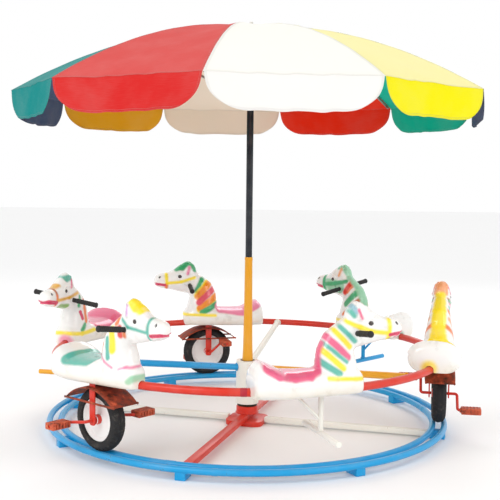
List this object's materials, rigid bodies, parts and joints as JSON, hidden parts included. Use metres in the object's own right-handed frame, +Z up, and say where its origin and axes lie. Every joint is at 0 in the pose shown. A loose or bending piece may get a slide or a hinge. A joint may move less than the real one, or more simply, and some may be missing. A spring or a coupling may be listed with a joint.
{
  "type": "pedal carousel",
  "caption": "Pedal-driven children's carousel: horses on a ring carried by tricycle wheels on a round rail track, under an umbrella.",
  "frame": {"origin": "on the floor, on the vertical axis that the carousel turns about", "axes": "+Z up; the picture's view looks along +Y, with +X to its right"},
  "size_m": [2.2934, 2.2934, 2.0153],
  "materials": {
    "track_blue": "satin gloss enamel",
    "signal_red": "satin gloss enamel",
    "cream_white": "satin gloss enamel",
    "post_yellow": "satin gloss enamel",
    "spoke_blue": "satin gloss enamel",
    "pole_navy": "satin gloss enamel",
    "canopy_cloth": "woven polyester in coloured panels",
    "cap_plastic": "moulded",
    "rib_steel": "drawn",
    "dark_steel": "greased",
    "shell_white": "glossy gel coat with sprayed colours",
    "grip_black": "moulded grips on a steel rod",
    "tyre_black": "treaded",
    "rust_brown": "worn red-brown enamel with rust",
    "pedal_rubber": "grooved"
  },
  "bodies": {
    "base": {"track_ring": "track_blue", "base_bar_red": "signal_red", "base_bar_white_left": "cream_white", "base_bar_white_right": "cream_white", "centre_plate": "signal_red", "centre_socket": "signal_red", "thrust_ring": "dark_steel", "yellow_post": "post_yellow", "umbrella_pole": "pole_navy", "canopy": "canopy_cloth", "canopy_skirt": "canopy_cloth", "top_cap": "cap_plastic", "rib_frame": "rib_steel", "stretcher_frame": "rib_steel"},
    "carousel": {"hub_sleeve": "cream_white", "hub_bush": "dark_steel", "spoke_white": "cream_white", "spoke_blue": "spoke_blue", "spoke_yellow": "post_yellow", "horse_ring": "signal_red", "horse_1": "shell_white", "horse_2": "shell_white", "horse_3": "shell_white", "horse_4": "shell_white", "horse_5": "shell_white", "horse_6": "shell_white", "handlebar_1": "grip_black", "handlebar_2": "grip_black", "handlebar_3": "grip_black", "handlebar_4": "grip_black", "handlebar_5": "grip_black", "fork_1": "signal_red", "fork_2": "signal_red", "fork_3": "signal_red", "mudguard_1": "rust_brown", "mudguard_2": "rust_brown", "mudguard_3": "rust_brown", "footrest_1": "spoke_blue", "footrest_3": "post_yellow", "footrest_5": "cream_white"},
    "wheel_1": {"tyre_1": "tyre_black", "wheel_disc_1": "cream_white", "crank_1": "signal_red"},
    "pedal_outer_1": {"pedal_outer_1": "pedal_rubber"},
    "pedal_inner_1": {"pedal_inner_1": "pedal_rubber"},
    "wheel_2": {"tyre_2": "tyre_black", "wheel_disc_2": "cream_white", "crank_2": "signal_red"},
    "pedal_outer_2": {"pedal_outer_2": "pedal_rubber"},
    "pedal_inner_2": {"pedal_inner_2": "pedal_rubber"},
    "wheel_3": {"tyre_3": "tyre_black", "wheel_disc_3": "cream_white", "crank_3": "signal_red"},
    "pedal_outer_3": {"pedal_outer_3": "pedal_rubber"},
    "pedal_inner_3": {"pedal_inner_3": "pedal_rubber"}
  },
  "joints": [
    {"name": "carousel_turn", "type": "hinge", "parent": "base", "child": "carousel", "pos_m": [0, 0, 0.373], "axis": [0, 0, 1], "continuous": true},
    {"name": "wheel_1_spin", "type": "hinge", "parent": "carousel", "child": "wheel_1", "pos_m": [-0.24795, 0.92536, 0.19608], "axis": [-0.2588, 0.9659, 0], "continuous": true},
    {"name": "pedal_outer_1_spin", "type": "hinge", "parent": "wheel_1", "child": "pedal_outer_1", "pos_m": [-0.36253, 1.0515, 0.12582], "axis": [-0.2588, 0.9659, 0], "continuous": true},
    {"name": "pedal_inner_1_spin", "type": "hinge", "parent": "wheel_1", "child": "pedal_inner_1", "pos_m": [-0.13337, 0.79922, 0.26634], "axis": [-0.2588, 0.9659, 0], "continuous": true},
    {"name": "wheel_2_spin", "type": "hinge", "parent": "carousel", "child": "wheel_2", "pos_m": [-0.63479, -0.7175, 0.19608], "axis": [-0.6626, -0.749, 0], "continuous": true},
    {"name": "pedal_outer_2_spin", "type": "hinge", "parent": "wheel_2", "child": "pedal_outer_2", "pos_m": [-0.81262, -0.76245, 0.17785], "axis": [-0.6626, -0.749, 0], "continuous": true},
    {"name": "pedal_inner_2_spin", "type": "hinge", "parent": "wheel_2", "child": "pedal_inner_2", "pos_m": [-0.45696, -0.67255, 0.21432], "axis": [-0.6626, -0.749, 0], "continuous": true},
    {"name": "wheel_3_spin", "type": "hinge", "parent": "carousel", "child": "wheel_3", "pos_m": [0.94486, -0.15812, 0.19608], "axis": [0.9863, -0.165, 0], "continuous": true},
    {"name": "pedal_outer_3_spin", "type": "hinge", "parent": "wheel_3", "child": "pedal_outer_3", "pos_m": [1.08009, -0.26795, 0.13586], "axis": [0.9863, -0.165, 0], "continuous": true},
    {"name": "pedal_inner_3_spin", "type": "hinge", "parent": "wheel_3", "child": "pedal_inner_3", "pos_m": [0.80963, -0.04828, 0.25631], "axis": [0.9863, -0.165, 0], "continuous": true}
  ],
  "couplings": [
    {"joint": "wheel_1_spin", "follows": "carousel_turn", "ratio": -6.9191},
    {"joint": "wheel_2_spin", "follows": "carousel_turn", "ratio": -6.9191},
    {"joint": "wheel_3_spin", "follows": "carousel_turn", "ratio": -6.9191}
  ]
}
